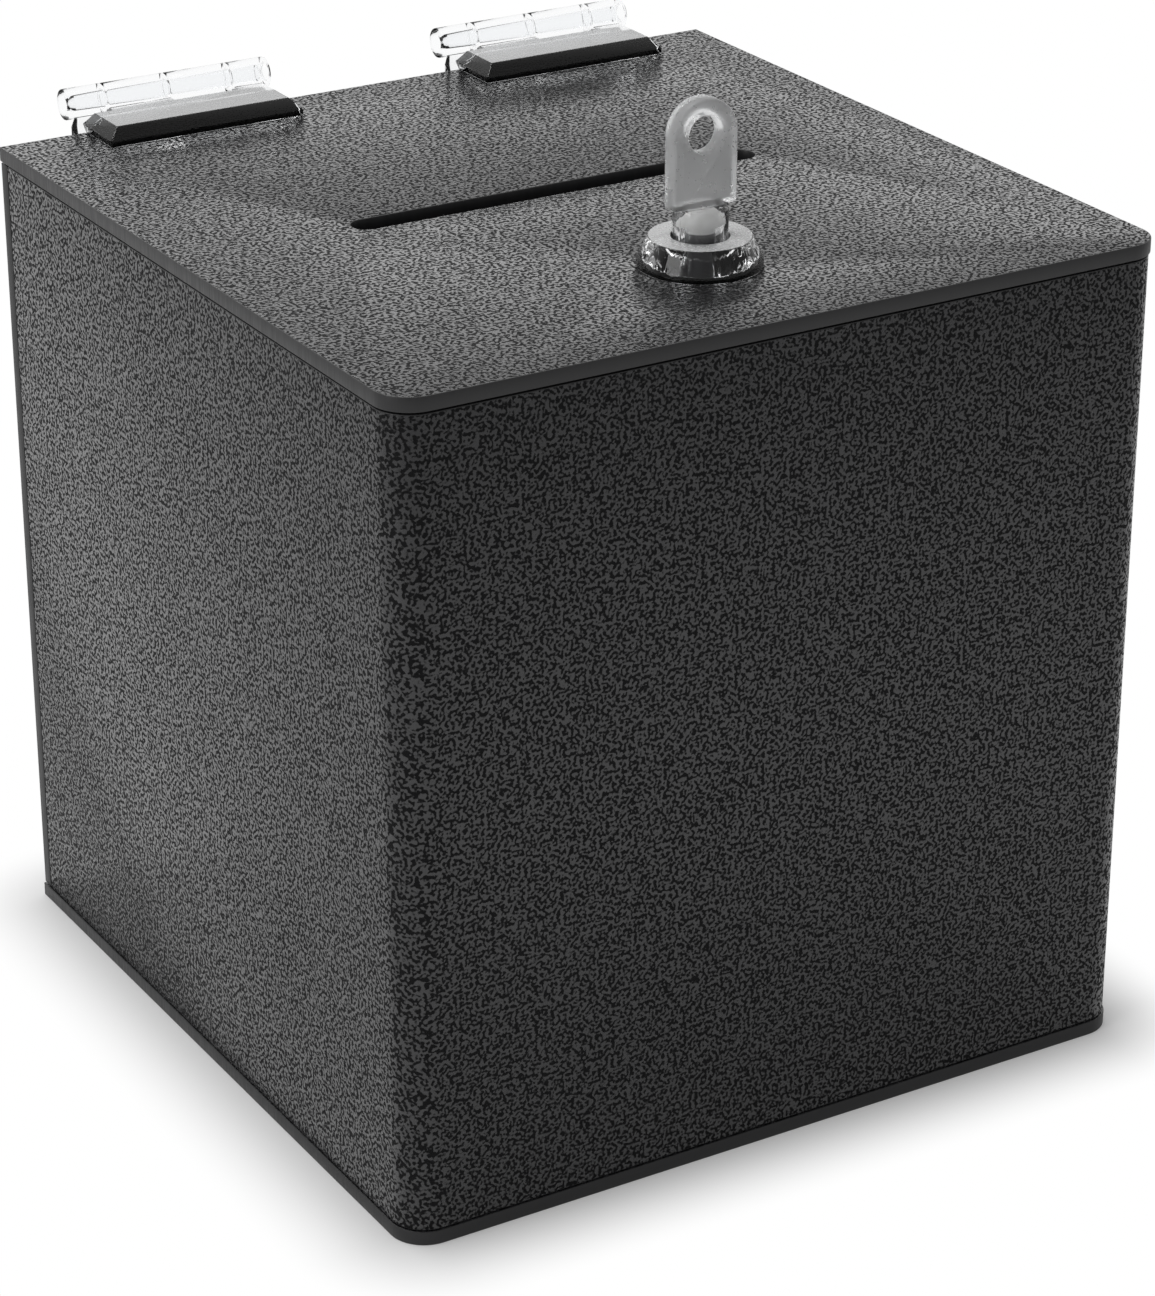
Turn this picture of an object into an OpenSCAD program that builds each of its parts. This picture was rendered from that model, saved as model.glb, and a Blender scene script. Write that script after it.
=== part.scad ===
// Countertop ballot box: a bent plastic sheet wrap on a flat base, a separate back panel,
// a flat lid with a ballot slot, two glued clear hinges and a clear cam lock with its key.
// Origin: centre of the base's underside. +Z is up, the lock side faces -Y, the hinges are at +Y.

/* [Box] */
// Width and depth of the base and lid sheets
box_side = 203.2; // [180:0.1:400]
// Height from the underside of the base to the top of the lid
box_h = 208.3; // [120:0.1:400]
// Thickness of the base sheet
base_t = 3.6; // [2:0.1:6]
// Thickness of the sheet that is bent into the front and side walls
wall_t = 3.6; // [2:0.1:6]
// Thickness of the back panel
back_t = 3.6; // [2:0.1:6]
// Thickness of the lid sheet
lid_t = 3.6; // [2:0.1:6]
// Outside radius of the front corners of the base and lid
corner_r = 9; // [7:0.5:20]
// How far the base and lid stand out beyond the front and side walls
overhang = 0.4; // [0:0.1:3]
// Gap between the closed lid and the tops of the walls
lid_gap = 0.5; // [0.2:0.1:2]
// Thickness of the glue line between sheets
glue_line = 0.2; // [0:0.1:0.5]
// Gap between the lid's back edge and the hinge leaves behind it
lid_back_gap = 0.3; // [0.2:0.1:1]

/* [Ballot slot] */
// Length of the slot over its round ends
slot_len = 111; // [60:1:140]
// Width of the slot
slot_w = 7.6; // [4.5:0.1:12]
// Distance of the slot behind the middle of the lid
slot_back = 2.8; // [-10:0.1:20]

/* [Hinges] */
// Distance from the side of the box to the middle of a hinge
hinge_inset = 48.4; // [32:0.1:56]
// Length of a hinge over its knuckles
hinge_len = 56; // [40:1:60]
// Length of each end knuckle
end_knuckle = 10.6; // [6:0.1:14]
// Outside diameter of the knuckles
knuckle_d = 7.8; // [6:0.1:8.6]
// Diameter of the hinge pin
hinge_pin_d = 4; // [2:0.1:4.6]
// Distance of each pin end inside the end of its knuckle
pin_recess = 2.5; // [0.5:0.1:5]
// Height of the pin axis above the face that a leaf is glued to
pin_rise = 5.9; // [5.4:0.1:8]
// Distance from the pin axis to the far edge of a leaf
leaf_reach = 21.5; // [14:0.5:30]
// Thickness of a leaf
leaf_t = 4.4; // [3:0.1:4.8]
// Width of the bevel round the top of a leaf
leaf_bevel = 2.7; // [0.5:0.1:2.8]
// How far a leaf stops short of the far end of the knuckles
leaf_short = 3; // [1:0.1:6]
// Gap between neighbouring knuckles and between the two mitred leaves
hinge_gap = 0.3; // [0.2:0.05:0.5]
// Radial clearance of the pin in the knuckles
pin_clear = 0.05; // [0.02:0.01:0.1]

/* [Lock] */
// Distance from the front edge of the lid to the lock axis
lock_setback = 41.1; // [30:0.1:60]
// Diameter of the flange where it sits on the lid
flange_d = 29.2; // [26:0.1:36]
// Diameter of the flange at its top
flange_top_d = 24; // [20:0.1:26]
// Height of the flange
flange_h = 6.9; // [4:0.1:12]
// Height of the straight rim at the foot of the flange
flange_rim = 1.2; // [0.5:0.1:3]
// Diameter over the threads of the lock barrel
thread_d = 18.6; // [17.5:0.1:22]
// Depth of the threads
thread_depth = 0.6; // [0.3:0.1:0.8]
// Distance from one thread to the next
thread_pitch = 1.5; // [1:0.1:2.5]
// Clearance round the barrel in the lid
barrel_clear = 0.2; // [0.1:0.05:0.5]
// Diameter of the keyhole
keyhole_d = 13.4; // [13.3:0.1:14]
// Width of the nut across its flats
nut_flats = 25; // [23:0.5:32]
// Thickness of the nut
nut_t = 4; // [3:0.1:8]
// Length of the barrel that shows below the nut
barrel_tail = 3.2; // [2.4:0.1:8]
// Thickness of the barrel's floor, which carries the rotor
barrel_floor = 2.4; // [1.5:0.1:4]

/* [Rotor and cam] */
// Thickness of the rotor's disc
disc_t = 4; // [2.5:0.1:5]
// Radial clearance of the rotor in the barrel
rotor_clear = 0.05; // [0.02:0.01:0.1]
// Diameter of the rotor's neck through the barrel floor
neck_d = 9; // [8:0.1:10]
// Diameter of the rotor's round-topped post
post_d = 6.6; // [5.5:0.1:7]
// Height of the foot of the post's dome above the flange
dome_foot = 2.6; // [0.5:0.1:3]
// Width of the two drive ribs on the post
rib_w = 2; // [1.5:0.1:3]
// Height of the drive ribs
rib_h = 4; // [2:0.1:6]
// Distance from the lock axis to the outer edge of a drive rib
rib_reach = 5.4; // [4.6:0.1:6]
// Side of the rotor's square end that drives the cam
square_side = 5.8; // [4.8:0.1:6]
// How far the locked cam reaches under the catch block
cam_bite = 5.4; // [2:0.1:7]
// Width of the cam
cam_w = 14; // [12:0.1:20]
// Thickness of the cam
cam_t = 2.5; // [1.5:0.1:4]
// Distance between the turning cam and the barrel above it
cam_gap = 0.3; // [0.2:0.05:0.6]
// Diameter of the cam screw's head
screw_head_d = 8.4; // [7.6:0.1:10]
// Height of the cam screw's head
screw_head_h = 2.4; // [1.5:0.1:4]
// Diameter of the cam screw's shank
screw_d = 3.4; // [2.5:0.1:4]
// Length of the cam screw's shank
screw_len = 8; // [5:0.1:9]

/* [Catch] */
// Length of the catch block along the front wall
catch_len = 50; // [30:1:100]
// Depth of the catch block from the front wall
catch_depth = 10; // [8.2:0.1:14]
// Distance of the catch block below the tops of the walls
catch_drop = 0.5; // [0.2:0.1:1.5]
// Gap between the locked cam and the catch block above it
catch_gap = 0.5; // [0.3:0.1:1.5]

/* [Key] */
// Width of the key's bow
bow_w = 16.7; // [14:0.1:24]
// Thickness of the key's bow
bow_t = 4.8; // [3:0.1:7]
// Height of the bow's lower edge above the flange
bow_lift = 7.1; // [7:0.1:12]
// Height of the bow's straight sides
bow_side_h = 16.9; // [12:0.1:30]
// Diameter of the ring hole
ring_hole_d = 8.4; // [4:0.1:10]
// Width of the chamfer round each rim of the ring hole
ring_hole_chamfer = 0.8; // [0.2:0.1:1.2]
// Outside diameter of the key's tubular shank
shank_d = 12.8; // [12:0.1:12.8]
// Clearance of the key round the rotor's post, ribs and disc
key_clear = 0.3; // [0.2:0.05:0.4]

/* [Hidden] */
$fn = 96;

half_side = box_side / 2;
wall_out = half_side - overhang;
wall_corner_r = corner_r - overhang;
wall_low = base_t + glue_line;
wall_top = box_h - lid_t - lid_gap;
back_in = half_side - back_t;

hinge_x = half_side - hinge_inset;
pin_y = half_side + pin_rise;
pin_z = box_h + pin_rise;
knuckle_ends = [-hinge_len / 2, -hinge_len / 2 + end_knuckle, 0,
                hinge_len / 2 - end_knuckle, hinge_len / 2];
leaf_face = leaf_t - pin_rise;
mitre_shift = hinge_gap / 2 * sqrt(2);
pin_bore_d = hinge_pin_d + 2 * pin_clear;

lock_y = lock_setback - half_side;
lid_low = box_h - lid_t;
nut_low = lid_low - nut_t;
barrel_low = nut_low - barrel_tail;
flange_top = box_h + flange_h;
disc_low = barrel_low + barrel_floor;
disc_top = disc_low + disc_t;
disc_d = keyhole_d - 2 * rotor_clear;
neck_hole_d = neck_d + 2 * rotor_clear;
dome_z = flange_top + dome_foot;
cam_top = barrel_low - cam_gap;
cam_low = cam_top - cam_t;
// The tip of the locked cam ends this far from the lock axis
cam_reach = lock_setback - overhang - wall_t - catch_depth + cam_bite;
// The square end stops short of the cam's far face, so that the screw clamps the cam
square_short = 0.2;
square_clear = 0.05;
catch_low = cam_top + catch_gap;
catch_top = wall_top - catch_drop;

nose_low = disc_top + key_clear;
bore_d = post_d + 2 * key_clear;
bow_low = flange_top + bow_lift;
ring_z = bow_low + bow_side_h;
// Small overlap that makes a cut pass cleanly through a face
cut = 1;

plastic_black = [0.06, 0.06, 0.065];
clear_plastic = [0.86, 0.9, 0.92, 0.5];
rotor_grey = [0.85, 0.85, 0.84];
steel = [0.62, 0.63, 0.65];

// Outline of a sheet with round front corners and square back corners
module sheet_outline(half_w, front, back, r) {
    translate([-half_w, front + r]) square([2 * half_w, back - front - r]);
    translate([-half_w + r, front]) square([2 * (half_w - r), r + cut]);
    for (side = [-1, 1]) translate([side * (half_w - r), front + r]) circle(r);
}

// Slot with round ends, centred on the origin
module round_slot(len, w) {
    square([len - w, w], center = true);
    for (side = [-1, 1]) translate([side * (len - w) / 2, 0]) circle(w / 2);
}

// Extrudes a profile drawn in Y and Z along X, from x0 to x1
module along_x(x0, x1) {
    translate([x0, 0, 0]) rotate([90, 0, 90]) linear_extrude(x1 - x0) children();
}

// Round bar along X
module bar_x(d, x0, x1) {
    along_x(x0, x1) circle(d / 2);
}

module base_panel() {
    color(plastic_black)
        linear_extrude(base_t) sheet_outline(half_side, -half_side, half_side, corner_r);
}

// One sheet bent twice: left wall, front wall and right wall
module wall_wrap() {
    wrap_end = back_in - glue_line;
    color(plastic_black)
        translate([0, 0, wall_low]) linear_extrude(wall_top - wall_low)
            difference() {
                sheet_outline(wall_out, -wall_out, wrap_end, wall_corner_r);
                sheet_outline(wall_out - wall_t, -wall_out + wall_t, wrap_end + cut,
                              wall_corner_r - wall_t);
            }
}

module back_panel() {
    color(plastic_black)
        translate([-wall_out, back_in, wall_low])
            cube([2 * wall_out, back_t, wall_top - wall_low]);
}

module lid_panel() {
    color(plastic_black)
        translate([0, 0, lid_low]) linear_extrude(lid_t)
            difference() {
                sheet_outline(half_side, -half_side, half_side - lid_back_gap, corner_r);
                translate([0, slot_back]) round_slot(slot_len, slot_w);
                translate([0, lock_y]) circle(thread_d / 2 + barrel_clear);
            }
}

// Block glued inside the front wall, which the cam turns under
module catch_block() {
    color(plastic_black)
        translate([-catch_len / 2, -wall_out + wall_t, catch_low])
            cube([catch_len, catch_depth, catch_top - catch_low]);
}

// Cross-section of a leaf in Y and Z about the pin axis, from its far edge to the mitre
module leaf_section() {
    polygon([
        [-leaf_reach, -pin_rise],
        [-leaf_reach, leaf_face - leaf_bevel],
        [-leaf_reach + leaf_bevel, leaf_face],
        [leaf_face - mitre_shift, leaf_face],
        [-pin_rise - mitre_shift, -pin_rise]
    ]);
}

// Side view of a leaf in X and Z, bevelled at both ends
module leaf_end_section(x0, x1) {
    polygon([
        [x0, -pin_rise],
        [x1, -pin_rise],
        [x1, leaf_face - leaf_bevel],
        [x1 - leaf_bevel, leaf_face],
        [x0 + leaf_bevel, leaf_face],
        [x0, leaf_face - leaf_bevel]
    ]);
}

// Leaf with its pin axis on X: the second and fourth knuckles from the left are its own
module hinge_leaf() {
    plate_x0 = -hinge_len / 2 + leaf_short;
    plate_x1 = hinge_len / 2;
    own = [1, 3];
    other = [0, 2];
    half_gap = hinge_gap / 2;
    difference() {
        union() {
            difference() {
                intersection() {
                    along_x(plate_x0, plate_x1) leaf_section();
                    rotate([90, 0, 0]) linear_extrude(leaf_reach + cut)
                        leaf_end_section(plate_x0, plate_x1);
                }
                for (i = other)
                    bar_x(2 * pin_rise, knuckle_ends[i] - half_gap, knuckle_ends[i + 1] + half_gap);
            }
            bar_x(knuckle_d, knuckle_ends[own[0]] + half_gap, knuckle_ends[own[0] + 1] - half_gap);
            bar_x(knuckle_d, knuckle_ends[own[1]] + half_gap, knuckle_ends[own[1] + 1]);
        }
        bar_x(pin_bore_d, -hinge_len / 2 - cut, hinge_len / 2 + cut);
    }
}

module lid_leaf(side) {
    color(clear_plastic) translate([side * hinge_x, pin_y, pin_z]) hinge_leaf();
}

// The same moulding turned round, so that it lies on the back panel
module back_leaf(side) {
    color(clear_plastic)
        translate([side * hinge_x, pin_y, pin_z]) rotate(a = 180, v = [0, 1, 1]) hinge_leaf();
}

module hinge_pin(side) {
    pin_half = hinge_len / 2 - pin_recess;
    color(clear_plastic)
        translate([side * hinge_x, pin_y, pin_z]) bar_x(hinge_pin_d, -pin_half, pin_half);
}

// Clear moulding: flange on the lid and threaded barrel through it
module lock_housing() {
    r = thread_d / 2;
    root = r - thread_depth;
    threads = floor((lid_low - barrel_low) / thread_pitch);
    color(clear_plastic)
        translate([0, lock_y, 0]) rotate_extrude() {
            polygon([
                [keyhole_d / 2, disc_low],
                [neck_hole_d / 2, disc_low],
                [neck_hole_d / 2, barrel_low],
                [root, barrel_low],
                for (i = [0 : threads - 1]) each [
                    [root, barrel_low + i * thread_pitch],
                    [r, barrel_low + (i + 0.4) * thread_pitch],
                    [r, barrel_low + (i + 0.6) * thread_pitch],
                    [root, barrel_low + (i + 1) * thread_pitch]
                ],
                [root, lid_low],
                [r, lid_low],
                [r, box_h],
                [flange_d / 2, box_h],
                [flange_d / 2, box_h + flange_rim],
                [flange_top_d / 2, flange_top],
                [keyhole_d / 2, flange_top]
            ]);
        }
}

module lock_nut() {
    nut_bore = thread_d + 2 * rotor_clear;
    color(clear_plastic)
        translate([0, lock_y, nut_low]) difference() {
            cylinder(h = nut_t, d = nut_flats / cos(30), $fn = 6);
            translate([0, 0, -cut]) cylinder(h = nut_t + 2 * cut, d = nut_bore);
        }
}

// Turning core: disc on the barrel floor, domed post for the key, square end for the cam
module lock_rotor() {
    screw_hole_h = screw_len + cam_gap;
    screw_hole_d = screw_d + 2 * square_clear;
    color(rotor_grey)
        translate([0, lock_y, 0]) difference() {
            union() {
                translate([0, 0, disc_low]) cylinder(h = disc_t, d = disc_d);
                translate([0, 0, disc_top]) cylinder(h = dome_z - disc_top, d = post_d);
                translate([0, 0, dome_z]) intersection() {
                    sphere(d = post_d);
                    translate([-post_d, -post_d, 0]) cube(2 * post_d);
                }
                translate([-rib_reach, -rib_w / 2, disc_top]) cube([2 * rib_reach, rib_w, rib_h]);
                translate([0, 0, cam_top]) cylinder(h = disc_low - cam_top, d = neck_d);
                translate([-square_side / 2, -square_side / 2, cam_low + square_short])
                    cube([square_side, square_side, cam_t - square_short]);
            }
            translate([0, 0, cam_low]) cylinder(h = screw_hole_h, d = screw_hole_d);
        }
}

// Flat lever that turns under the catch block: at rest it is turned aside to -X
module lock_cam() {
    square_hole = square_side + 2 * square_clear;
    color(steel)
        translate([0, lock_y, cam_low]) linear_extrude(cam_t) difference() {
            union() {
                circle(cam_w / 2);
                translate([-cam_reach + cam_w / 2, -cam_w / 2])
                    square([cam_reach - cam_w / 2, cam_w]);
                translate([-cam_reach + cam_w / 2, 0]) circle(cam_w / 2);
            }
            square(square_hole, center = true);
        }
}

module cam_screw() {
    slot_deep = screw_head_h / 2;
    slot_wide = screw_head_d / 7;
    color(steel)
        translate([0, lock_y, cam_low]) difference() {
            union() {
                translate([0, 0, -screw_head_h]) cylinder(h = screw_head_h, d = screw_head_d);
                cylinder(h = screw_len, d = screw_d);
            }
            for (turn = [0, 90]) rotate(turn)
                translate([-screw_head_d / 3, -slot_wide / 2, -screw_head_h - cut])
                    cube([screw_head_d * 2 / 3, slot_wide, slot_deep + cut]);
        }
}

// Flat bow with a ring hole on a tubular shank that slips over the rotor's post
module key() {
    rim_r = ring_hole_d / 2 + ring_hole_chamfer;
    notch_w = rib_w + 2 * key_clear;
    color(clear_plastic)
        translate([0, lock_y, 0]) difference() {
            union() {
                translate([-bow_w / 2, -bow_t / 2, bow_low]) cube([bow_w, bow_t, bow_side_h]);
                translate([0, bow_t / 2, ring_z]) rotate([90, 0, 0])
                    cylinder(h = bow_t, d = bow_w);
                translate([0, 0, nose_low]) cylinder(h = bow_low - nose_low, d = shank_d);
            }
            translate([0, 0, ring_z]) rotate([90, 0, 0]) {
                translate([0, 0, -bow_t]) cylinder(h = 2 * bow_t, d = ring_hole_d);
                for (face = [-1, 1]) rotate([90 - 90 * face, 0, 0])
                    translate([0, 0, bow_t / 2 - ring_hole_chamfer])
                        cylinder(h = ring_hole_chamfer, r1 = ring_hole_d / 2, r2 = rim_r);
            }
            translate([0, 0, nose_low - cut]) cylinder(h = dome_z - nose_low + cut, d = bore_d);
            translate([0, 0, dome_z]) sphere(d = bore_d);
            translate([-shank_d, -notch_w / 2, nose_low - cut])
                cube([2 * shank_d, notch_w, rib_h + cut]);
        }
}

base_panel();
wall_wrap();
back_panel();
lid_panel();
catch_block();
lid_leaf(-1);  // left_hinge_lid_leaf
lid_leaf(1);  // right_hinge_lid_leaf
back_leaf(-1);  // left_hinge_back_leaf
back_leaf(1);  // right_hinge_back_leaf
hinge_pin(-1);  // left_hinge_pin
hinge_pin(1);  // right_hinge_pin
lock_housing();
lock_nut();
lock_rotor();
lock_cam();
cam_screw();
key();
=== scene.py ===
import math

import bmesh
import bpy
from mathutils import Matrix, Vector


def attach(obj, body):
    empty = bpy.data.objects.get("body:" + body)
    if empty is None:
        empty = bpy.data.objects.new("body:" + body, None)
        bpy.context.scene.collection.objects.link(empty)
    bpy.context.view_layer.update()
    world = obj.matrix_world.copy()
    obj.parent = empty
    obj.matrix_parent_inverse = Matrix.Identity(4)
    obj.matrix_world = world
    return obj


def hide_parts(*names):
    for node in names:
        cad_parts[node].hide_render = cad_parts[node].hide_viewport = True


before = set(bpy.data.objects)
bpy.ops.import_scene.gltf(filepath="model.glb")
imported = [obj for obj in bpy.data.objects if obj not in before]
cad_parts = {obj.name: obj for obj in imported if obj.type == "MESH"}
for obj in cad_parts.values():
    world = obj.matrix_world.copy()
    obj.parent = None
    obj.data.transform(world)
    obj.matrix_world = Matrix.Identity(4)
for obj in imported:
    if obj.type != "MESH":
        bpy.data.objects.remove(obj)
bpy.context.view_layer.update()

# Base sheet: the box stands on a flat square of black plastic sheet with a fine pebbled grain.
# A router cuts it to size, which leaves a plain edge, and the wall sheets are glued on it.
mm = 0.001
side = 203.2 * mm
sheet_t = 3.6 * mm
corner_radius = 9 * mm
corner_steps = 14
edge_break = 0.25 * mm

grain_cell = 0.85 * mm
grain_depth = 0.42 * mm
drift_rate = 0.45
pebble_edge = 0.38
pebble_top = 0.6
speckle_rate = 2.7
speckle_share = 0.3
patch_scale = 45.0

pebble_colour = (0.017, 0.017, 0.0185)
# Painted shade: the colour of the grain's pits is darker, standing in for the shade the pebbles
# cast into them.
painted_pit_shade = (0.004, 0.004, 0.0045)
cut_dark = (0.009, 0.009, 0.0095)
cut_light = (0.017, 0.017, 0.018)
cutter_marks = (1600, 1600, 130)

# The places of the finishes in a sheet's list of materials.
grained = 0
routed = 1


def add(tree, kind, inputs=None, **settings):
    """A new node. An input that is a socket is linked, and any other is a plain value."""
    node = tree.nodes.new(kind)
    for name, value in settings.items():
        setattr(node, name, value)
    for name, value in (inputs or {}).items():
        if isinstance(value, bpy.types.NodeSocket):
            tree.links.new(value, node.inputs[name])
        else:
            node.inputs[name].default_value = value
    return node


# The grain is a noise whose place is pushed about by a slower noise, cut off to pebbles and
# pits, with a finer speckle on top. Cell is the size of one pebble in metres.
grain = bpy.data.node_groups.new("pebbled_grain", "ShaderNodeTree")
grain.interface.new_socket("Position", in_out="INPUT", socket_type="NodeSocketVector")
grain.interface.new_socket("Cell", in_out="INPUT", socket_type="NodeSocketFloat")
for name in ("Height", "Pit", "Patch"):
    grain.interface.new_socket(name, in_out="OUTPUT", socket_type="NodeSocketFloat")
group_in = add(grain, "NodeGroupInput")
group_out = add(grain, "NodeGroupOutput")
where = group_in.outputs["Position"]
cell = group_in.outputs["Cell"]
per_cell = add(grain, "ShaderNodeMath", {0: 1.0, 1: cell}, operation="DIVIDE").outputs[0]
slow = add(grain, "ShaderNodeMath", {0: per_cell, 1: drift_rate}, operation="MULTIPLY").outputs[0]
drift = add(grain, "ShaderNodeTexNoise", {"Vector": where, "Scale": slow, "Detail": 1.0})
centred = add(grain, "ShaderNodeVectorMath", {0: drift.outputs["Color"], 1: (0.5, 0.5, 0.5)},
              operation="SUBTRACT").outputs[0]
push = add(grain, "ShaderNodeVectorMath", {0: centred, "Scale": cell}, operation="SCALE").outputs[0]
bent = add(grain, "ShaderNodeVectorMath", {0: where, 1: push}, operation="ADD").outputs[0]
worms = add(grain, "ShaderNodeTexNoise", {"Vector": bent, "Scale": per_cell, "Detail": 0.6})
tops = add(grain, "ShaderNodeMapRange", {"Value": worms.outputs["Fac"], "From Min": pebble_edge,
           "From Max": pebble_top}, interpolation_type="SMOOTHSTEP").outputs["Result"]
rapid = add(grain, "ShaderNodeMath", {0: per_cell, 1: speckle_rate},
            operation="MULTIPLY").outputs[0]
speckle = add(grain, "ShaderNodeTexNoise", {"Vector": where, "Scale": rapid, "Detail": 1.0})
height = add(grain, "ShaderNodeMath", {0: speckle.outputs["Fac"], 1: speckle_share, 2: tops},
             operation="MULTIPLY_ADD").outputs[0]
pit = add(grain, "ShaderNodeMath", {0: 1.0, 1: tops}, operation="SUBTRACT").outputs[0]
patch = add(grain, "ShaderNodeTexNoise", {"Vector": where, "Scale": patch_scale, "Detail": 3.0})
grain.links.new(height, group_out.inputs["Height"])
grain.links.new(pit, group_out.inputs["Pit"])
grain.links.new(patch.outputs["Fac"], group_out.inputs["Patch"])


def blank_material(name):
    material = bpy.data.materials.new(name)
    material.use_nodes = True
    tree = material.node_tree
    shader = tree.nodes["Principled BSDF"]
    place = add(tree, "ShaderNodeTexCoord").outputs["Object"]
    return material, tree, shader, place


def ramp(tree, value, low, high, out_low, out_high):
    return add(tree, "ShaderNodeMapRange", {"Value": value, "From Min": low, "From Max": high,
               "To Min": out_low, "To Max": out_high}).outputs["Result"]


def mix_colour(tree, factor, first, second):
    node = add(tree, "ShaderNodeMix", data_type="RGBA")
    tree.links.new(factor, node.inputs[0])
    node.inputs[6].default_value = (*first, 1)
    node.inputs[7].default_value = (*second, 1)
    return node.outputs[2]


def bump(tree, shader, height, distance):
    node = add(tree, "ShaderNodeBump", {"Height": height, "Distance": distance, "Strength": 1.0})
    tree.links.new(node.outputs["Normal"], shader.inputs["Normal"])


def noise(tree, place, scale, detail):
    return add(tree, "ShaderNodeTexNoise", {"Vector": place, "Scale": scale,
               "Detail": detail}).outputs["Fac"]


def uneven_gloss(tree, shader, pattern, low, high):
    tree.links.new(ramp(tree, pattern, 0.3, 0.7, low, high), shader.inputs["Roughness"])


pebbled, tree, shader, place = blank_material("pebbled_black_sheet")
cells = add(tree, "ShaderNodeGroup", node_tree=grain)
tree.links.new(place, cells.inputs["Position"])
cells.inputs["Cell"].default_value = grain_cell
# The pits take the darker colour, which is painted shade in the pits of the grain.
tree.links.new(mix_colour(tree, cells.outputs["Pit"], pebble_colour, painted_pit_shade),
               shader.inputs["Base Color"])
gloss = ramp(tree, cells.outputs["Pit"], 0, 1, 0.26, 0.6)
patchy = ramp(tree, cells.outputs["Patch"], 0.3, 0.7, -0.04, 0.04)
tree.links.new(add(tree, "ShaderNodeMath", {0: gloss, 1: patchy}, operation="ADD").outputs[0],
               shader.inputs["Roughness"])
bump(tree, shader, cells.outputs["Height"], grain_depth)
tree.links.new(ramp(tree, cells.outputs["Pit"], 0.15, 0.75, 1.0, 0.0),
               shader.inputs["Coat Weight"])
shader.inputs["Coat Roughness"].default_value = 0.22
shader.inputs["Coat IOR"].default_value = 1.6
shader.inputs["Specular IOR Level"].default_value = 0.12

cut_edge, tree, shader, place = blank_material("routed_sheet_edge")
stretched = add(tree, "ShaderNodeMapping", {"Vector": place, "Scale": cutter_marks})
chatter = noise(tree, stretched.outputs[0], scale=1.0, detail=2.0)
tree.links.new(mix_colour(tree, chatter, cut_dark, cut_light), shader.inputs["Base Color"])
uneven_gloss(tree, shader, chatter, 0.36, 0.5)
bump(tree, shader, chatter, 0.015 * mm)


def soften(bm, edges, width, segments=2):
    bmesh.ops.bevel(bm, geom=list(edges), affect="EDGES", offset=width, offset_type="OFFSET",
                    segments=segments, profile=0.5, material=-1)


def round_corners(bm, corners, radius, segments):
    bmesh.ops.bevel(bm, geom=corners, affect="VERTICES", offset=radius, offset_type="OFFSET",
                    segments=segments, profile=0.5, material=-1)


def plate(bm, left, right, front, back, radius):
    """Flat outline of a sheet with its two front corners rounded."""
    made = bmesh.ops.create_grid(bm, x_segments=1, y_segments=1, size=0.5)["verts"]
    bmesh.ops.scale(bm, verts=made, vec=(right - left, back - front, 1))
    bmesh.ops.translate(bm, verts=made, vec=((left + right) / 2, (front + back) / 2, 0))
    corners = [v for v in made if v.co.y < (front + back) / 2]
    round_corners(bm, corners, radius, corner_steps)


def lift(bm, risen, height):
    """Moves the vertices that an extrusion has made up by height."""
    bmesh.ops.translate(bm, verts=[v for v in risen if isinstance(v, bmesh.types.BMVert)],
                        vec=(0, 0, height))


def raise_up(bm, low, high):
    """Gives every flat face in bm the thickness from low to high."""
    bmesh.ops.translate(bm, verts=bm.verts, vec=(0, 0, low))
    lift(bm, bmesh.ops.extrude_face_region(bm, geom=bm.faces[:])["geom"], high - low)
    bmesh.ops.recalc_face_normals(bm, faces=bm.faces)


def sharp_edges(bm, degrees=40):
    return [e for e in bm.edges if len(e.link_faces) == 2
            and e.calc_face_angle(0) > math.radians(degrees)]


def finish_piece(name, bm, materials, body, node):
    """Makes bm an object that rides on a body and stands for a CAD node."""
    mesh = bpy.data.meshes.new(name)
    bm.normal_update()
    bm.to_mesh(mesh)
    bm.free()
    for material in materials:
        mesh.materials.append(material)
    mesh.shade_smooth()
    mesh.set_sharp_from_angle(angle=math.radians(35))
    piece = bpy.data.objects.new(name, mesh)
    bpy.context.scene.collection.objects.link(piece)
    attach(piece, body)
    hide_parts(node)
    return piece


bm = bmesh.new()
plate(bm, -side / 2, side / 2, -side / 2, side / 2, corner_radius)
raise_up(bm, 0, sheet_t)
soften(bm, sharp_edges(bm), edge_break)
for face in bm.faces:
    face.material_index = grained if abs(face.normal.z) > 0.99 else routed
finish_piece("base_sheet", bm, [pebbled, cut_edge], "box", "base_panel")

# Bent wall sheet: one strip of the same sheet, heated along two lines and bent into the left
# wall, the front wall and the right wall. It is grained outside and smooth inside, and its
# lower edge is glued to the base, a little back from the base's edge.
set_back = 0.4 * mm
glue_line = 0.2 * mm
wall_half = side / 2 - set_back
wall_back = side / 2 - sheet_t - glue_line
wall_low = sheet_t + glue_line
wall_high = 204.2 * mm
bend_radius = corner_radius - set_back
smooth = 2
back_dark = (0.010, 0.010, 0.011)
back_light = (0.016, 0.016, 0.017)

sheet_back, tree, shader, place = blank_material("smooth_black_sheet")
haze = noise(tree, place, scale=60.0, detail=4.0)
tree.links.new(mix_colour(tree, haze, back_dark, back_light), shader.inputs["Base Color"])
uneven_gloss(tree, shader, haze, 0.42, 0.52)
bump(tree, shader, noise(tree, place, scale=420.0, detail=2.0), 0.02 * mm)

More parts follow.
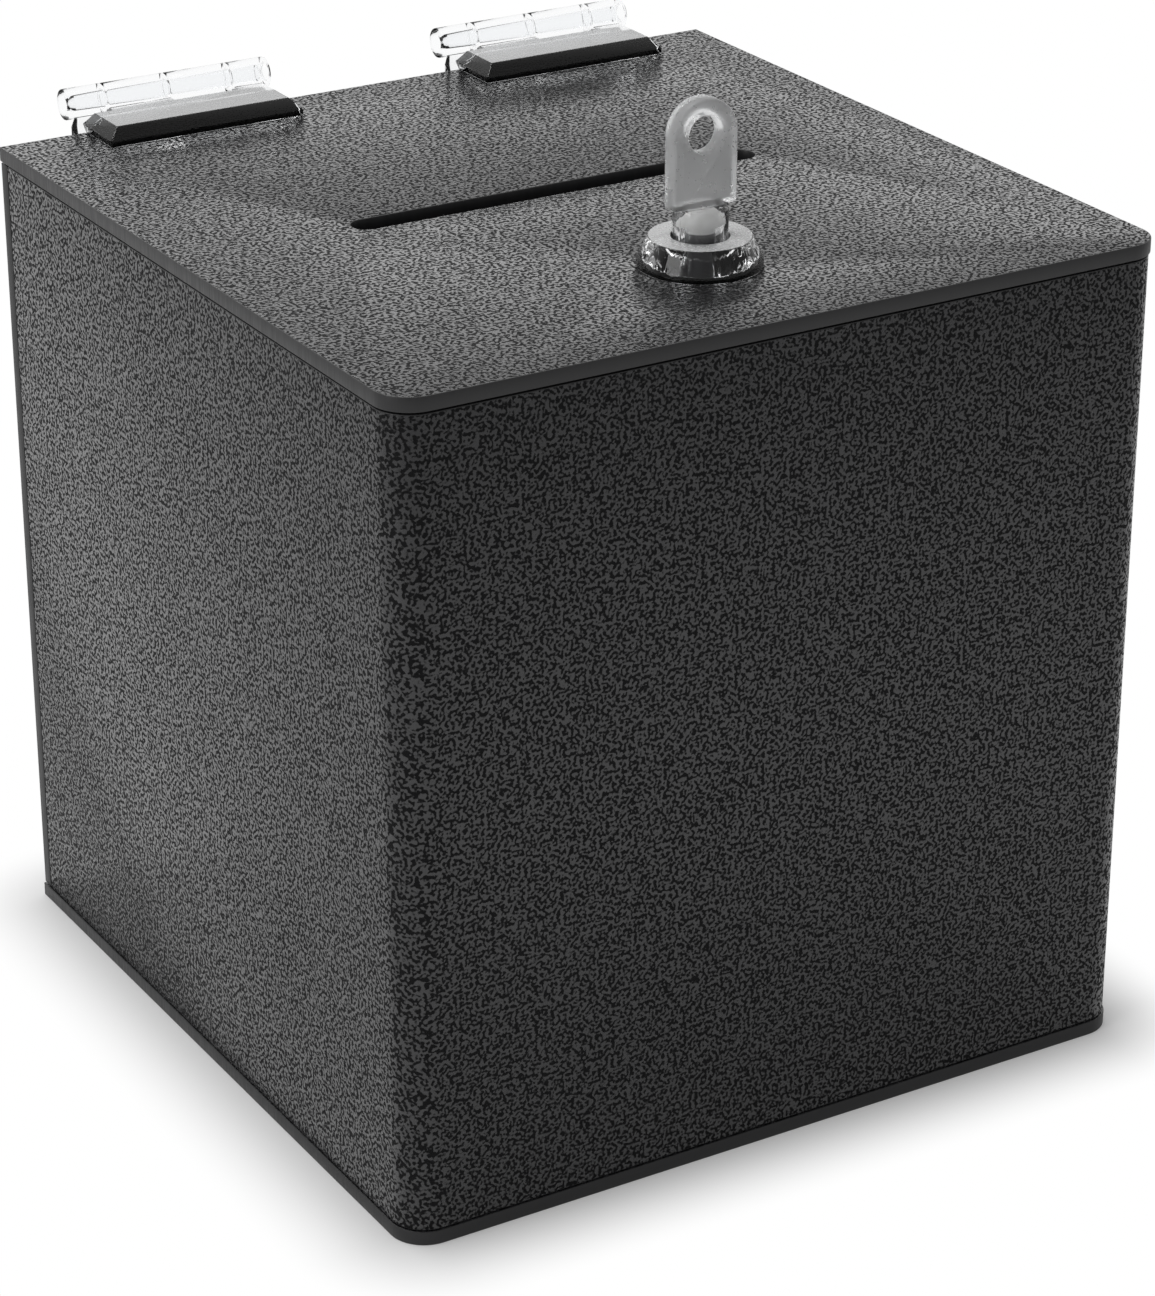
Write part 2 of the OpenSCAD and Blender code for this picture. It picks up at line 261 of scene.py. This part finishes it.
bm = bmesh.new()
plate(bm, -wall_half, wall_half, -wall_half, wall_back, bend_radius)
bmesh.ops.delete(bm, geom=bm.faces[:], context="FACES_ONLY")
open_side = [e for e in bm.edges if all(abs(v.co.y - wall_back) < 1e-6 for v in e.verts)]
bmesh.ops.delete(bm, geom=open_side, context="EDGES")
bmesh.ops.translate(bm, verts=bm.verts, vec=(0, 0, wall_low))
lift(bm, bmesh.ops.extrude_edge_only(bm, edges=bm.edges[:])["geom"], wall_high - wall_low)
bmesh.ops.recalc_face_normals(bm, faces=bm.faces)
front = min(bm.faces, key=lambda f: f.calc_center_median().y)
if front.normal.y > 0:
    bmesh.ops.reverse_faces(bm, faces=bm.faces)
bmesh.ops.solidify(bm, geom=bm.faces[:], thickness=sheet_t)
bmesh.ops.recalc_face_normals(bm, faces=bm.faces)
soften(bm, sharp_edges(bm), edge_break)
for face in bm.faces:
    middle = face.calc_center_median()
    outward = Vector((middle.x, middle.y, 0))
    end_face = face.normal.y > 0.95 and middle.y > wall_back - 1 * mm
    if abs(face.normal.z) > 0.05 or end_face:
        face.material_index = routed
    else:
        face.material_index = grained if face.normal.dot(outward) > 0 else smooth
finish_piece("bent_wall_sheet", bm, [pebbled, cut_edge, sheet_back], "box", "wall_wrap")


# Back sheet: the back wall is a flat sheet, glued across the two ends of the bent wall sheet,
# so that its plain edges show at the sides.
def block(bm, size, middle):
    made = bmesh.ops.create_cube(bm, size=1)["verts"]
    bmesh.ops.scale(bm, verts=made, vec=size)
    bmesh.ops.translate(bm, verts=made, vec=middle)


bm = bmesh.new()
block(bm, (2 * wall_half, sheet_t, wall_high - wall_low),
      (0, side / 2 - sheet_t / 2, (wall_low + wall_high) / 2))
soften(bm, sharp_edges(bm), edge_break)
for face in bm.faces:
    face.material_index = routed
    if abs(face.normal.y) > 0.99:
        face.material_index = grained if face.normal.y > 0 else smooth
finish_piece("back_sheet", bm, [pebbled, cut_edge, sheet_back], "box", "back_panel")

# Catch strip: an offcut of the sheet, glued inside the front wall just under its top edge.
# The lock's cam turns under it and so holds the lid shut.
strip_size = (50 * mm, 10 * mm, 6 * mm)
strip_middle = (0, -92.6 * mm, 200.7 * mm)
strip_break = 0.5 * mm

bm = bmesh.new()
block(bm, strip_size, strip_middle)
soften(bm, sharp_edges(bm), strip_break)
finish_piece("catch_strip", bm, [cut_edge], "box", "catch_block")

# Lid sheet: a flat sheet with the same rounded front corners. The ballot slot and the hole
# for the lock are routed through it, and their rims are lightly chamfered.
lid_gap = 0.5 * mm
lid_low = wall_high + lid_gap
lid_high = lid_low + sheet_t
lid_back = 101.3 * mm
slot_length = 111 * mm
slot_width = 7.6 * mm
slot_middle = 2.8 * mm
slot_steps = 10
lock_y = -60.5 * mm
lock_hole = 9.5 * mm
lock_hole_steps = 64
# A corner radius just under half the slot's width, so that two corners don't meet in a point.
slot_radius = slot_width / 2 * 0.999

bm = bmesh.new()
plate(bm, -side / 2, side / 2, -side / 2, lid_back, corner_radius)
bmesh.ops.delete(bm, geom=bm.faces[:], context="FACES_ONLY")
slot = bmesh.ops.create_grid(bm, x_segments=1, y_segments=1, size=0.5)["verts"]
bmesh.ops.scale(bm, verts=slot, vec=(slot_length, slot_width, 1))
bmesh.ops.translate(bm, verts=slot, vec=(0, slot_middle, 0))
round_corners(bm, slot, slot_radius, slot_steps)
bmesh.ops.delete(bm, geom=bm.faces[:], context="FACES_ONLY")
bmesh.ops.create_circle(bm, cap_ends=False, radius=lock_hole, segments=lock_hole_steps,
                        matrix=Matrix.Translation((0, lock_y, 0)))
bmesh.ops.triangle_fill(bm, use_beauty=True, use_dissolve=False, edges=bm.edges[:])
raise_up(bm, lid_low, lid_high)
soften(bm, sharp_edges(bm), edge_break)
for face in bm.faces:
    face.material_index = routed
    if abs(face.normal.z) > 0.99:
        face.material_index = grained if face.normal.z > 0 else smooth
finish_piece("lid_sheet", bm, [pebbled, cut_edge, sheet_back], "lid", "lid_panel")

# Hinges: each is two clear moulded leaves and a clear pin. A leaf is a thick bevelled plate
# with knuckles along one edge. One leaf is glued on the lid and the other on the back sheet.
pin_y = 107.5 * mm
pin_z = 214.2 * mm
knuckle_reach = 4.0 * mm
leaf_t = 4.4 * mm
leaf_rounding = 0.2 * mm
pin_rounding = 0.15 * mm
clear_colour = (0.97, 0.975, 0.98, 1)
hazed_colour = (0.9, 0.905, 0.91, 1)


def clear_plastic(name, ior):
    material, tree, shader, place = blank_material(name)
    shader.inputs["Base Color"].default_value = clear_colour
    shader.inputs["Transmission Weight"].default_value = 1.0
    shader.inputs["IOR"].default_value = ior
    flow = noise(tree, place, scale=260.0, detail=2.0)
    uneven_gloss(tree, shader, flow, 0.0, 0.05)
    bump(tree, shader, flow, 0.01 * mm)
    return material


def hazed_plastic(name, clearness, ior, mist_scale, gloss_low, gloss_high):
    material, tree, shader, place = blank_material(name)
    shader.inputs["Base Color"].default_value = hazed_colour
    shader.inputs["Transmission Weight"].default_value = clearness
    shader.inputs["IOR"].default_value = ior
    mist = noise(tree, place, scale=mist_scale, detail=3.0)
    uneven_gloss(tree, shader, mist, gloss_low, gloss_high)
    bump(tree, shader, mist, 0.01 * mm)
    return material


def rounded_copy(node_name, name, width, materials, body):
    """The CAD solid of a clear moulding as one closed mesh, with its sharp edges rounded."""
    bm = bmesh.new()
    bm.from_mesh(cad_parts[node_name].data)
    bmesh.ops.remove_doubles(bm, verts=bm.verts, dist=2e-6)
    bmesh.ops.dissolve_limit(bm, angle_limit=math.radians(0.6), use_dissolve_boundaries=False,
                             verts=bm.verts, edges=bm.edges)
    soften(bm, sharp_edges(bm, 30), width)
    return finish_piece(name, bm, materials, body, node_name)


clear = clear_plastic("clear_moulding", ior=1.49)
hazed = hazed_plastic("hazed_moulding", clearness=0.55, ior=1.49, mist_scale=700.0,
                      gloss_low=0.2, gloss_high=0.34)
# The knuckles show paler than the leaves, so their plastic bends light less.
barrel = clear_plastic("clear_knuckle", ior=1.14)

for hand in ("left", "right"):
    for leaf, body in (("lid_leaf", "lid"), ("back_leaf", "box")):
        piece = rounded_copy(f"{hand}_hinge_{leaf}", f"{hand}_{leaf}", leaf_rounding,
                             [clear, hazed, barrel], body)
        for face in piece.data.polygons:
            middle = face.center
            top_face = face.normal.z > 0.99 and abs(middle.z - lid_high - leaf_t) < 0.1 * mm
            if leaf == "lid_leaf" and top_face:
                face.material_index = 1
            if math.hypot(middle.y - pin_y, middle.z - pin_z) < knuckle_reach:
                face.material_index = 2
    rounded_copy(f"{hand}_hinge_pin", f"{hand}_pin", pin_rounding, [barrel], "box")

# Lock housing and nut: the housing is one clear moulding, a cone-shaped flange that rests on
# the lid and a threaded barrel that goes through it. A clear hexagonal nut holds it.
flange_top = 215.2 * mm
flange_rounding = 0.2 * mm
nut_rounding = 0.3 * mm

housing = rounded_copy("lock_housing", "lock_flange_and_barrel", flange_rounding,
                       [clear, hazed], "lid")
for face in housing.data.polygons:
    if face.normal.z > 0.99 and face.center.z > flange_top - 0.1 * mm:
        face.material_index = 1
rounded_copy("lock_nut", "barrel_nut", nut_rounding, [clear], "lid")

# Rotor: the turning core of the lock, a moulded plastic plug with a white domed post for the
# key and a darker body. It runs in the housing, and its square end carries the cam.
post_low = 216.4 * mm
body_colour = (0.12, 0.12, 0.125)
post_colour = (0.86, 0.86, 0.85)

core, tree, shader, place = blank_material("moulded_rotor")
rise = add(tree, "ShaderNodeSeparateXYZ", {"Vector": place}).outputs["Z"]
above = ramp(tree, rise, post_low - 0.1 * mm, post_low + 0.1 * mm, 0.0, 1.0)
tree.links.new(mix_colour(tree, above, body_colour, post_colour), shader.inputs["Base Color"])
mottle = noise(tree, place, scale=500.0, detail=3.0)
uneven_gloss(tree, shader, mottle, 0.3, 0.45)
bump(tree, shader, mottle, 0.02 * mm)


def dress_node(node_name, material):
    """Gives a CAD node that keeps its own shape its finish."""
    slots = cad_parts[node_name].data.materials
    slots.clear()
    slots.append(material)


dress_node("lock_rotor", core)

# Cam and screw: the cam is a flat lever of zinc plated steel with a square hole, held on the
# rotor's square end by a plated screw with a cross recess.
zinc_dark = (0.5, 0.51, 0.53)
zinc_light = (0.7, 0.7, 0.71)
drawn_lines = (300, 2400, 2400)

plated, tree, shader, place = blank_material("zinc_plated_steel")
drawn = add(tree, "ShaderNodeMapping", {"Vector": place, "Scale": drawn_lines})
lines = noise(tree, drawn.outputs[0], scale=1.0, detail=3.0)
tree.links.new(mix_colour(tree, lines, zinc_dark, zinc_light), shader.inputs["Base Color"])
uneven_gloss(tree, shader, lines, 0.25, 0.45)
shader.inputs["Metallic"].default_value = 1.0
bump(tree, shader, lines, 0.01 * mm)
dress_node("lock_cam", plated)
dress_node("cam_screw", plated)

# Key: a clear moulding with a flat, slightly hazy bow, a ring hole and a tubular shank that
# slips over the rotor's post. The inner faces of the tube are white, because a clear tube
# makes the post in it look as wide as the tube.
bow_low = 222.35 * mm
tube_reach = 3.75 * mm
key_rounding = 0.6 * mm

bow_haze = hazed_plastic("hazed_key_bow", clearness=0.82, ior=1.3, mist_scale=900.0,
                         gloss_low=0.26, gloss_high=0.36)
key = rounded_copy("key", "key_moulding", key_rounding, [clear, bow_haze, core], "key")
for face in key.data.polygons:
    middle = face.center
    if middle.z > bow_low:
        face.material_index = 1
    elif math.hypot(middle.x, middle.y - lock_y) < tube_reach and middle.z > flange_top:
        face.material_index = 2

# Floor: plain pale paper that keeps its rendered shadow near the box. Further out the camera sees
# it
# as pure white, and so does clear plastic: there it glows, and the glow fades in with distance
# from the box's footprint, so the band around the box is partly painted shade.
floor_size = 6
floor_colour = (0.8, 0.8, 0.8, 1)
core_half = side / 2 - corner_radius
white_start = 2 * mm
white_full = 36 * mm

bpy.ops.mesh.primitive_plane_add(size=floor_size)
floor = bpy.context.object
floor.name = "floor"
paper, tree, shader, place = blank_material("pale_floor")
shader.inputs["Base Color"].default_value = floor_colour
shader.inputs["Roughness"].default_value = 0.9
shader.inputs["Specular IOR Level"].default_value = 0.0
parts = add(tree, "ShaderNodeSeparateXYZ", {"Vector": place})
beyond = []
for axis in (0, 1):
    size = add(tree, "ShaderNodeMath", {0: parts.outputs[axis]}, operation="ABSOLUTE").outputs[0]
    out = add(tree, "ShaderNodeMath", {0: size, 1: core_half}, operation="SUBTRACT").outputs[0]
    beyond.append(add(tree, "ShaderNodeMath", {0: out, 1: 0.0}, operation="MAXIMUM").outputs[0])
gap = add(tree, "ShaderNodeCombineXYZ", {"X": beyond[0], "Y": beyond[1]})
distance = add(tree, "ShaderNodeVectorMath", {0: gap.outputs[0]}, operation="LENGTH")
# The glow grows with distance from the box's footprint, so the floor near the box is darker:
# painted shade around it, besides the rendered shadow.
far = add(tree, "ShaderNodeMapRange", {"Value": distance.outputs["Value"],
          "From Min": white_start, "From Max": white_full},
          interpolation_type="SMOOTHSTEP").outputs["Result"]
rays = add(tree, "ShaderNodeLightPath")
seen = add(tree, "ShaderNodeMath", {0: rays.outputs["Is Camera Ray"],
           1: rays.outputs["Is Transmission Ray"]}, operation="MAXIMUM").outputs[0]
white = add(tree, "ShaderNodeMath", {0: seen, 1: far}, operation="MULTIPLY").outputs[0]
glow = add(tree, "ShaderNodeEmission", {"Color": (1, 1, 1, 1), "Strength": 1.0})
both = add(tree, "ShaderNodeMixShader", {0: white, 1: shader.outputs[0], 2: glow.outputs[0]})
tree.links.new(both.outputs[0], tree.nodes["Material Output"].inputs["Surface"])
floor.data.materials.append(paper)

# Surround and lamps: the camera sees white. Gloss and clear plastic see a wall that is white
# behind the box and grey on the camera's side. Two large soft lamps add the light from above
# and from the left.
wall_grey = 0.35
wall_white = 1.0
room_colour = (0.55, 0.55, 0.55, 1)
behind_box = (0.35, 0.94, 0.0)

world = bpy.data.worlds.new("surround")
bpy.context.scene.world = world
world.use_nodes = True
tree = world.node_tree
back = tree.nodes["Background"]
rays = add(tree, "ShaderNodeLightPath")
seen = add(tree, "ShaderNodeMath", {0: rays.outputs["Is Camera Ray"],
           1: rays.outputs["Is Glossy Ray"]}, operation="MAXIMUM").outputs[0]
seen = add(tree, "ShaderNodeMath", {0: seen, 1: rays.outputs["Is Transmission Ray"]},
           operation="MAXIMUM").outputs[0]
toward = add(tree, "ShaderNodeTexCoord").outputs["Generated"]
facing = add(tree, "ShaderNodeVectorMath", {0: toward, 1: behind_box},
             operation="DOT_PRODUCT").outputs["Value"]
wall = add(tree, "ShaderNodeMapRange", {"Value": facing, "From Min": -0.1, "From Max": 0.5,
           "To Min": wall_grey, "To Max": wall_white},
           interpolation_type="SMOOTHSTEP").outputs["Result"]
level = add(tree, "ShaderNodeMath", {0: wall, 1: rays.outputs["Is Camera Ray"]},
            operation="MAXIMUM").outputs[0]
shade = add(tree, "ShaderNodeCombineXYZ", {"X": level, "Y": level, "Z": level}).outputs[0]
plain = add(tree, "ShaderNodeMix", data_type="RGBA")
tree.links.new(seen, plain.inputs[0])
plain.inputs[6].default_value = room_colour
tree.links.new(shade, plain.inputs[7])
tree.links.new(plain.outputs[2], back.inputs["Color"])


def softbox(name, place, aim, size, power):
    lamp = bpy.data.lights.new(name, "AREA")
    lamp.shape = "DISK"
    lamp.size = size
    lamp.energy = power
    holder = bpy.data.objects.new(name, lamp)
    bpy.context.scene.collection.objects.link(holder)
    holder.location = place
    holder.rotation_euler = (Vector(aim) - Vector(place)).to_track_quat("-Z", "Y").to_euler()


softbox("top_lamp", place=(-0.2, 0.35, 1.6), aim=(0, 0, 0.15), size=1.1, power=9)
softbox("left_lamp", place=(-1.5, -0.2, 0.8), aim=(0, 0, 0.1), size=0.9, power=6)

# Camera: it stands to the left of the front, above the lid, and looks down on the box. Its
# focal length is the photograph's, in pixels of a frame 1296 high.
sensor = 36
focal_px = 4067.0
frame_high_px = 1296
look_down = 24.655
turn_right = 30.865

camera = bpy.data.objects.new("camera", bpy.data.cameras.new("camera"))
bpy.context.scene.collection.objects.link(camera)
bpy.context.scene.camera = camera
camera.data.sensor_width = sensor
camera.data.lens = sensor * focal_px / frame_high_px
camera.data.clip_start = 0.05
camera.location = (-0.472705, -0.797342, 0.513967)
camera.rotation_euler = (math.radians(90 - look_down), 0, math.radians(-turn_right))
bpy.context.scene.view_settings.view_transform = "Standard"
